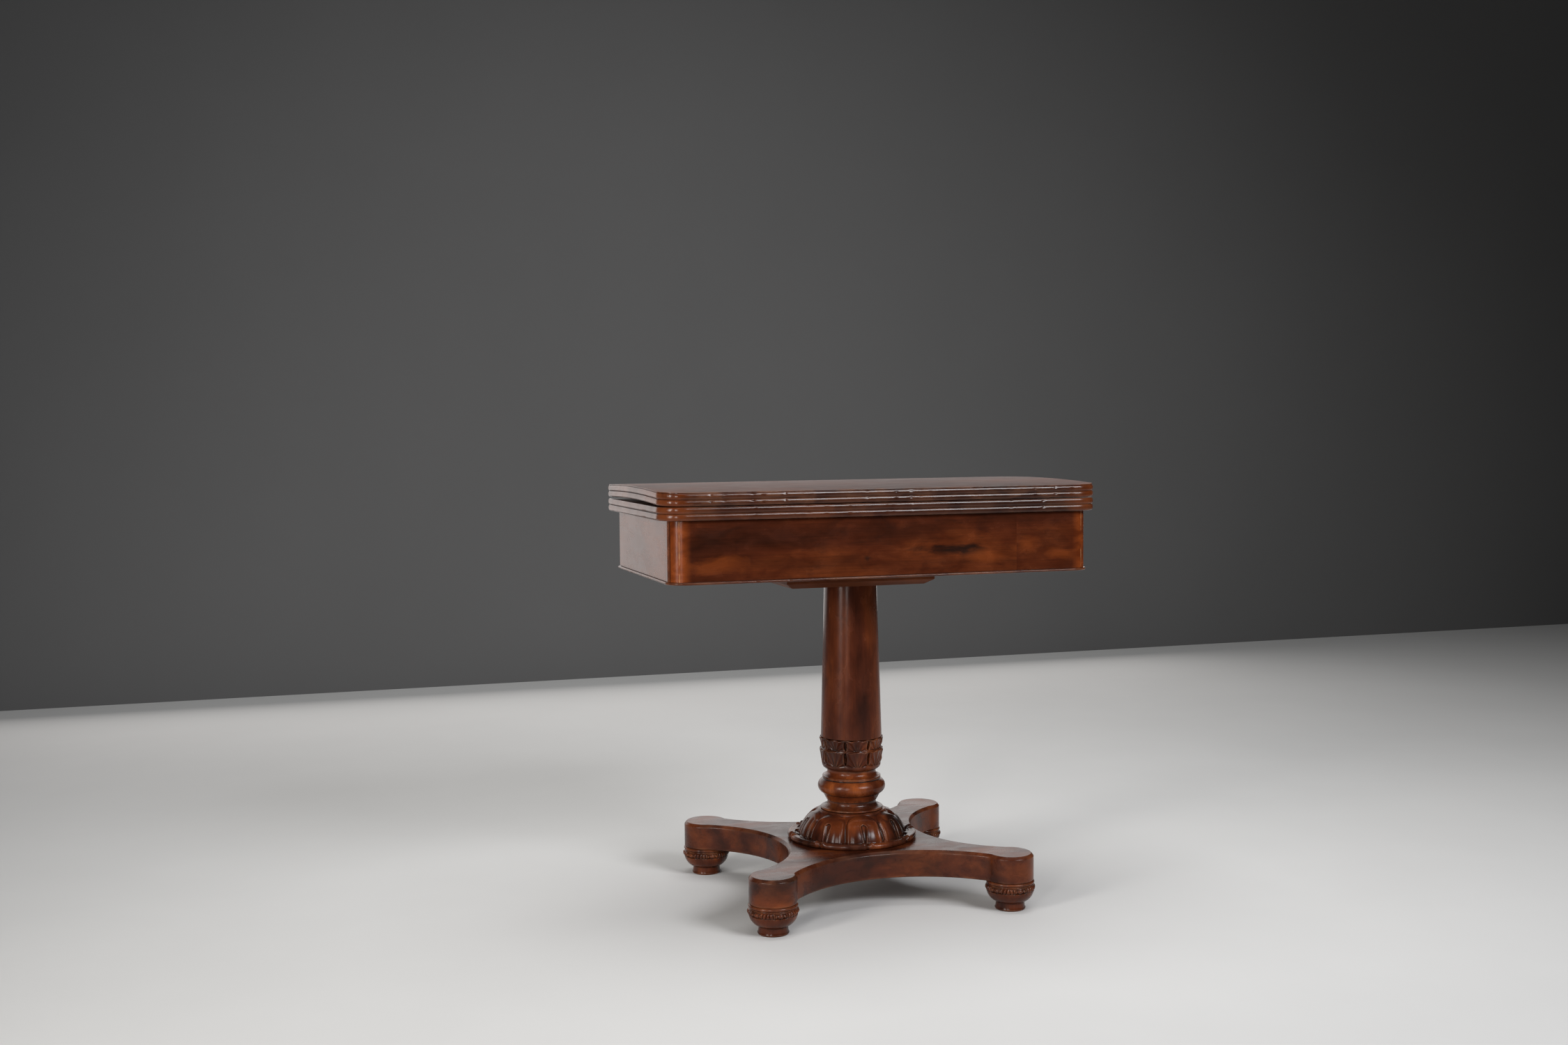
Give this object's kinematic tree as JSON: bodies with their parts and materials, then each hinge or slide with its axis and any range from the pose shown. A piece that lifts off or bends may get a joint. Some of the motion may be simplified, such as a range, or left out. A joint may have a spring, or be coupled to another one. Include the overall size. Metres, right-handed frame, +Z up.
{
  "type": "folding card table",
  "caption": "Pedestal card table with two hinged reeded leaves that swivel over a frieze and open to a square, on a tapered column, carved dome, hollow-sided platform and bun feet.",
  "frame": {"origin": "on the floor under the column's centre", "axes": "+X along the front edge to the right as seen from the front, +Y to the back, +Z up"},
  "size_m": [0.81, 0.5092, 0.7552],
  "materials": {
    "mahogany": "french-polished figured mahogany",
    "orange_mahogany": "french-polished mahogany of a lighter orange tone",
    "carved_mahogany": "polished carved mahogany with dark wax in the hollows",
    "carcass_wood": "plain unpolished softwood",
    "brass": "dull old brass",
    "iron": "dark wrought iron",
    "baize": "green wool baize"
  },
  "bodies": {
    "base": {"base_platform": "mahogany", "foot_front_left": "carved_mahogany", "foot_front_right": "carved_mahogany", "foot_back_left": "carved_mahogany", "foot_back_right": "carved_mahogany", "dome_cap": "carved_mahogany", "knop": "orange_mahogany", "leaf_collar": "carved_mahogany", "column_shaft": "mahogany", "spigot_wedge": "carcass_wood", "tenon_wedge": "carcass_wood", "bearer_block": "mahogany", "bearer_screw_front_left": "iron", "bearer_screw_front_right": "iron", "bearer_screw_back_left": "iron", "bearer_screw_back_right": "iron", "frieze_front_rail": "mahogany", "frieze_left_rail": "mahogany", "frieze_right_rail": "mahogany", "frieze_back_rail": "carcass_wood", "corner_block_left": "orange_mahogany", "corner_block_right": "orange_mahogany", "bead_front": "orange_mahogany", "bead_left": "orange_mahogany", "bead_right": "orange_mahogany", "cross_rail_left": "carcass_wood", "cross_rail_right": "carcass_wood", "pivot_rail": "carcass_wood", "well_divider": "carcass_wood", "well_floor": "carcass_wood"},
    "swivel_top": {"lower_leaf": "mahogany", "lower_baize": "baize", "pivot_plate": "iron", "plate_screw_front_left": "iron", "plate_screw_front_right": "iron", "plate_screw_back_left": "iron", "plate_screw_back_right": "iron", "pivot_bolt": "iron", "pivot_washer": "iron", "pivot_nut": "iron", "stop_peg": "carcass_wood", "hinge_lower_flap_left": "brass", "hinge_lower_flap_middle": "brass", "hinge_lower_flap_right": "brass", "hinge_pin_left": "brass", "hinge_pin_middle": "brass", "hinge_pin_right": "brass"},
    "fold_leaf": {"upper_leaf": "mahogany", "upper_baize": "baize", "hinge_upper_flap_left": "brass", "hinge_upper_flap_middle": "brass", "hinge_upper_flap_right": "brass"}
  },
  "joints": [
    {"name": "top_swivel", "type": "hinge", "parent": "base", "child": "swivel_top", "pos_m": [0.10125, 0.10125, 0.7032], "axis": [0, 0, 1], "range_deg": [0, 90]},
    {"name": "leaf_fold", "type": "hinge", "parent": "swivel_top", "child": "fold_leaf", "pos_m": [0, 0.2031, 0.7277], "axis": [-1, 0, 0], "range_deg": [0, 178.9]}
  ]
}
